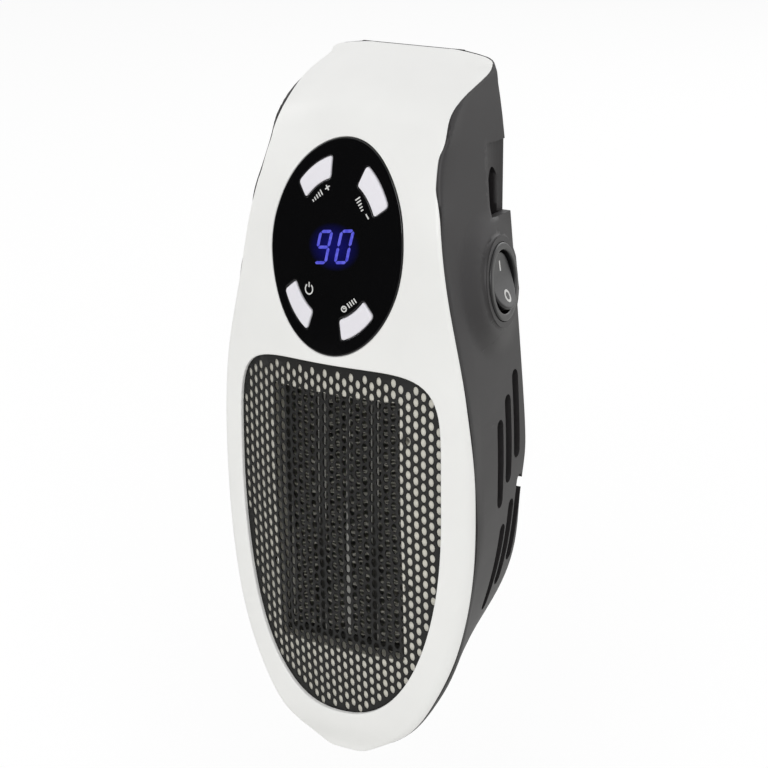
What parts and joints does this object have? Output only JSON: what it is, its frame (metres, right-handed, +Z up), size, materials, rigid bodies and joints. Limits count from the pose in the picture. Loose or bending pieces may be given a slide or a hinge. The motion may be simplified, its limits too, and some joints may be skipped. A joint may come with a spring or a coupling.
{
  "type": "plug-in fan heater",
  "caption": "Plug-in wall fan heater with a perforated grille, an oval key panel with a digit display, a side rocker switch and a flat two-blade plug.",
  "frame": {"origin": "midway between the two plug blades, on the plane of the wall that the back rests on", "axes": "+Z up; -Y out of the wall towards the room, so +Y runs along the blades into the wall; +X to the right as seen from the front"},
  "size_m": [0.0776, 0.0601, 0.188],
  "materials": {
    "white_shell": "moulded white ABS, satin gloss",
    "grille_grey": "moulded heat-resistant plastic, fine satin",
    "housing_grey": "moulded dark grey plastic, satin",
    "panel_black": "polished black window",
    "key_white": "moulded white keys, satin",
    "display_black": "potted digit block",
    "board_green": "glass-epoxy board, solder mask",
    "switch_grey": "small push switches",
    "screw_zinc": "zinc plated",
    "duct_cream": "heat-resistant cream plastic",
    "core_frame": "heat-resistant frame",
    "core_aluminium": "darkened by heat",
    "cutout_black": "moulded phenolic disc",
    "fan_black": "moulded fan frame",
    "rotor_grey": "moulded fan wheel",
    "stator_steel": "stacked laminations",
    "shaft_steel": "ground shaft",
    "rocker_black": "moulded switch, gloss",
    "plug_black": "moulded plug block",
    "blade_brass": "stamped brass, lightly plated",
    "relay_black": "potted relay case",
    "capacitor_yellow": "boxed film capacitor",
    "fuse_ceramic": "ceramic fuse body"
  },
  "bodies": {
    "housing": {"front_shell": "white_shell", "grille": "grille_grey", "rear_housing": "housing_grey", "panel_lens": "panel_black", "display_block": "display_black", "control_board": "board_green", "tact_switches": "switch_grey", "control_board_screws": "screw_zinc", "housing_screws": "screw_zinc", "outlet_duct": "duct_cream", "core_holder": "core_frame", "heater_bars": "core_aluminium", "core_strips": "core_aluminium", "heater_fins": "core_aluminium", "thermal_cutout": "cutout_black", "duct_screws": "screw_zinc", "fan_frame": "fan_black", "fan_stator": "stator_steel", "fan_screws": "screw_zinc", "switch_body": "rocker_black", "switch_tabs": "blade_brass", "plug_block": "plug_black", "left_blade": "blade_brass", "right_blade": "blade_brass", "power_board": "board_green", "relay": "relay_black", "film_capacitor": "capacitor_yellow", "fuse": "fuse_ceramic", "power_board_screws": "screw_zinc"},
    "key_warmer": {"key_warmer": "key_white"},
    "key_cooler": {"key_cooler": "key_white"},
    "key_power": {"key_power": "key_white"},
    "key_timer": {"key_timer": "key_white"},
    "rocker": {"rocker": "rocker_black"},
    "fan": {"fan_rotor": "rotor_grey", "fan_shaft": "shaft_steel"}
  },
  "joints": [
    {"name": "key_warmer_press", "type": "slide", "parent": "housing", "child": "key_warmer", "axis": [0, 1, 0], "range_m": [0, 0.0005], "stiffness_N_per_m": 1000, "springref_m": -0.0004},
    {"name": "key_cooler_press", "type": "slide", "parent": "housing", "child": "key_cooler", "axis": [0, 1, 0], "range_m": [0, 0.0005], "stiffness_N_per_m": 1000, "springref_m": -0.0004},
    {"name": "key_power_press", "type": "slide", "parent": "housing", "child": "key_power", "axis": [0, 1, 0], "range_m": [0, 0.0005], "stiffness_N_per_m": 1000, "springref_m": -0.0004},
    {"name": "key_timer_press", "type": "slide", "parent": "housing", "child": "key_timer", "axis": [0, 1, 0], "range_m": [0, 0.0005], "stiffness_N_per_m": 1000, "springref_m": -0.0004},
    {"name": "rocker_tilt", "type": "hinge", "parent": "housing", "child": "rocker", "pos_m": [0.03145, -0.01134, -0.00942], "axis": [-0.1396, 0.9902, 0], "range_deg": [0, 18]},
    {"name": "fan_spin", "type": "hinge", "parent": "housing", "child": "fan", "pos_m": [0, 0, -0.067], "axis": [0, 1, 0], "continuous": true}
  ]
}
